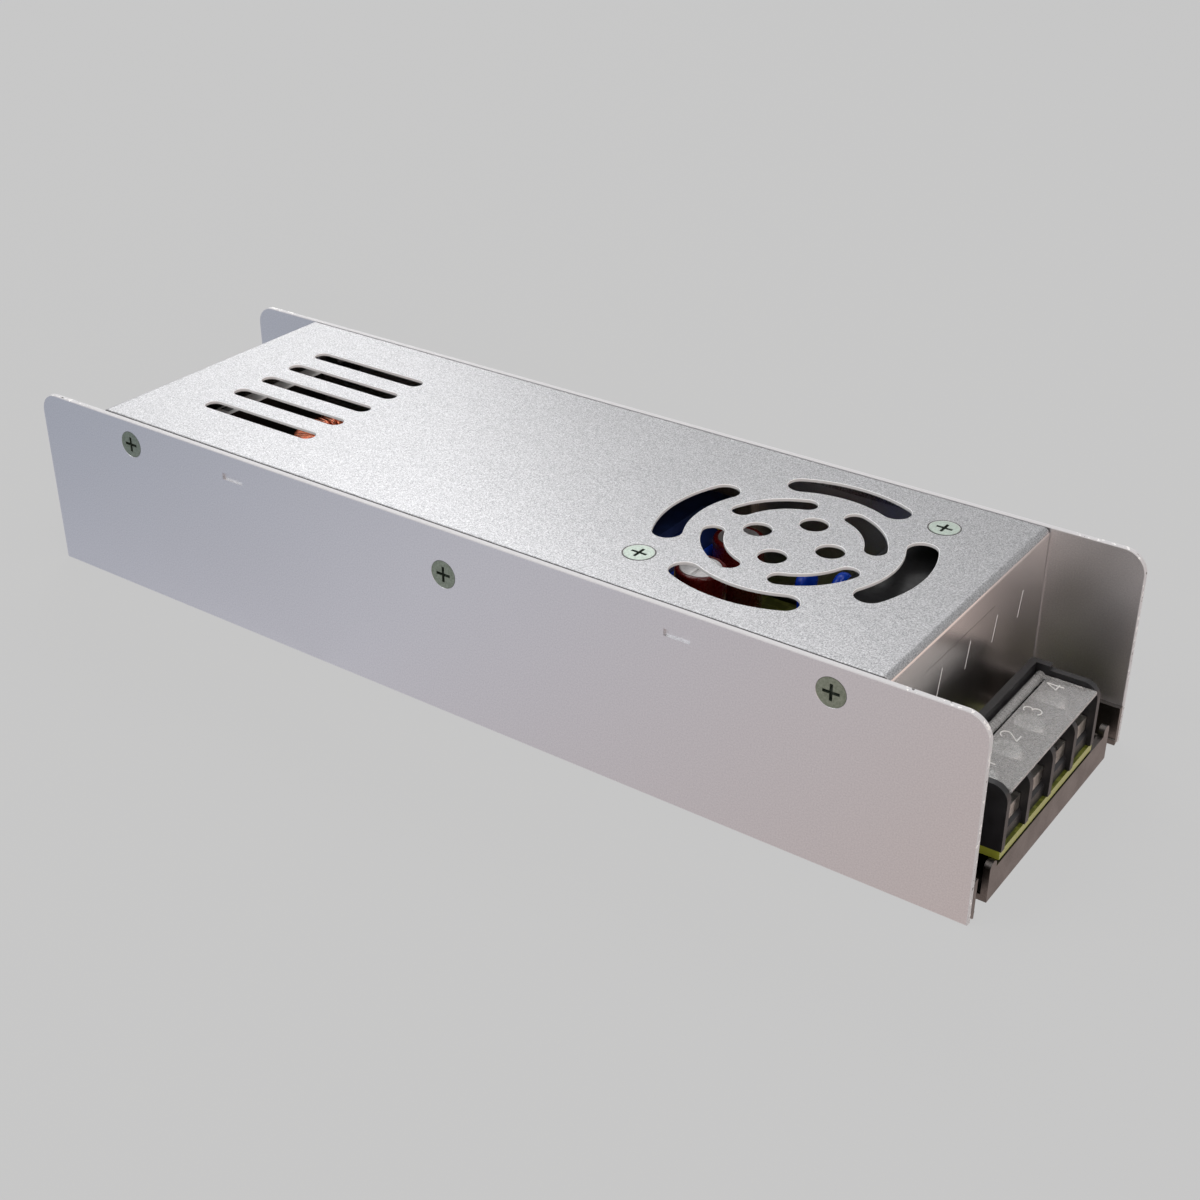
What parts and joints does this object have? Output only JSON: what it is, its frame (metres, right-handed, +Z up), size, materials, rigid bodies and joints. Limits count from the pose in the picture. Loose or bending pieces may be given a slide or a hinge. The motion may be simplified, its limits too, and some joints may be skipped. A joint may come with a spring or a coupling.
{
  "type": "power supply",
  "caption": "Slim enclosed power supply in a folded aluminium case with a round grille, air slots and a covered screw terminal block in each open end.",
  "frame": {"origin": "bottom centre of the case", "axes": "+X along the case towards the output terminals, +Z up, -Y out of the front side plate"},
  "size_m": [0.22, 0.066, 0.04],
  "materials": {
    "plate_aluminium": "satin mill finish",
    "cover_aluminium": "satin mill finish",
    "tray_aluminium": "satin mill finish",
    "bar_aluminium": "sawn and machined",
    "plated_steel": "zinc plated, olive tint",
    "zinc_steel": "zinc plated, bright",
    "plated_brass": "nickel plated",
    "tinned_brass": "tinned",
    "copper_wire": "enamelled copper",
    "film_plastic": "thin milky film",
    "board_laminate": "lacquered glass laminate",
    "block_plastic": "moulded",
    "clear_plastic": "clear smoky moulding",
    "package_epoxy": "moulded epoxy",
    "ferrite": "sintered",
    "potting": "potted block",
    "coil_tape": "polyester tape",
    "can_sleeve": "shrunk sleeve, silver end",
    "blue_lacquer": "dipped lacquer",
    "film_box": "moulded box",
    "varistor_lacquer": "dipped lacquer",
    "resistor_ceramic": "fired white ceramic",
    "resistor_cement": "grey cement filling",
    "base_plastic": "moulded",
    "fuse_ceramic": "ceramic tube with plated caps"
  },
  "bodies": {
    "case": {"side_plate_front": "plate_aluminium", "side_plate_back": "plate_aluminium", "top_cover": "cover_aluminium", "base_tray": "tray_aluminium", "side_screws": "plated_steel", "top_screws": "zinc_steel", "press_nuts": "zinc_steel", "board_standoffs": "plated_brass", "board_screws": "zinc_steel", "insulating_film": "film_plastic", "circuit_board": "board_laminate", "output_terminal_block": "block_plastic", "input_terminal_block": "block_plastic", "output_contacts": "tinned_brass", "input_contacts": "tinned_brass", "output_clamp_washers": "zinc_steel", "input_clamp_washers": "zinc_steel", "heat_spreader_front": "bar_aluminium", "heat_spreader_back": "bar_aluminium", "power_transistors": "package_epoxy", "output_rectifiers": "package_epoxy", "bridge_rectifier": "package_epoxy", "inrush_resistor": "resistor_ceramic", "resistor_cement": "resistor_cement", "choke_base": "base_plastic", "choke_core": "ferrite", "choke_winding": "copper_wire", "output_choke": "potting", "transformer_core": "ferrite", "transformer_coil": "coil_tape", "bulk_capacitors": "can_sleeve", "output_capacitors": "can_sleeve", "blue_disc_capacitors": "blue_lacquer", "film_capacitor": "film_box", "varistor": "varistor_lacquer", "fuse": "fuse_ceramic", "fuse_clips": "tinned_brass", "control_card": "board_laminate", "control_chips": "package_epoxy"},
    "output_flap": {"output_terminal_flap": "clear_plastic"},
    "input_flap": {"input_terminal_flap": "clear_plastic"},
    "output_screw_1": {"output_screw_1": "zinc_steel"},
    "output_screw_2": {"output_screw_2": "zinc_steel"},
    "output_screw_3": {"output_screw_3": "zinc_steel"},
    "output_screw_4": {"output_screw_4": "zinc_steel"},
    "input_screw_1": {"input_screw_1": "zinc_steel"},
    "input_screw_2": {"input_screw_2": "zinc_steel"},
    "input_screw_3": {"input_screw_3": "zinc_steel"}
  },
  "joints": [
    {"name": "output_flap_hinge", "type": "hinge", "parent": "case", "child": "output_flap", "pos_m": [0.0992, -0.0022, 0.0192], "axis": [0, -1, 0], "range_deg": [0, 105]},
    {"name": "output_screw_1_turn", "type": "hinge", "parent": "case", "child": "output_screw_1", "pos_m": [0.1029, -0.01645, 0.0164], "axis": [0, 0, 1], "continuous": true},
    {"name": "output_screw_2_turn", "type": "hinge", "parent": "case", "child": "output_screw_2", "pos_m": [0.1029, -0.00695, 0.0164], "axis": [0, 0, 1], "continuous": true},
    {"name": "output_screw_3_turn", "type": "hinge", "parent": "case", "child": "output_screw_3", "pos_m": [0.1029, 0.00255, 0.0164], "axis": [0, 0, 1], "continuous": true},
    {"name": "output_screw_4_turn", "type": "hinge", "parent": "case", "child": "output_screw_4", "pos_m": [0.1029, 0.01205, 0.0164], "axis": [0, 0, 1], "continuous": true},
    {"name": "input_flap_hinge", "type": "hinge", "parent": "case", "child": "input_flap", "pos_m": [-0.0992, 0, 0.0192], "axis": [0, 1, 0], "range_deg": [0, 105]},
    {"name": "input_screw_1_turn", "type": "hinge", "parent": "case", "child": "input_screw_1", "pos_m": [-0.1029, 0.0095, 0.0164], "axis": [0, 0, 1], "continuous": true},
    {"name": "input_screw_2_turn", "type": "hinge", "parent": "case", "child": "input_screw_2", "pos_m": [-0.1029, 0, 0.0164], "axis": [0, 0, 1], "continuous": true},
    {"name": "input_screw_3_turn", "type": "hinge", "parent": "case", "child": "input_screw_3", "pos_m": [-0.1029, -0.0095, 0.0164], "axis": [0, 0, 1], "continuous": true}
  ]
}
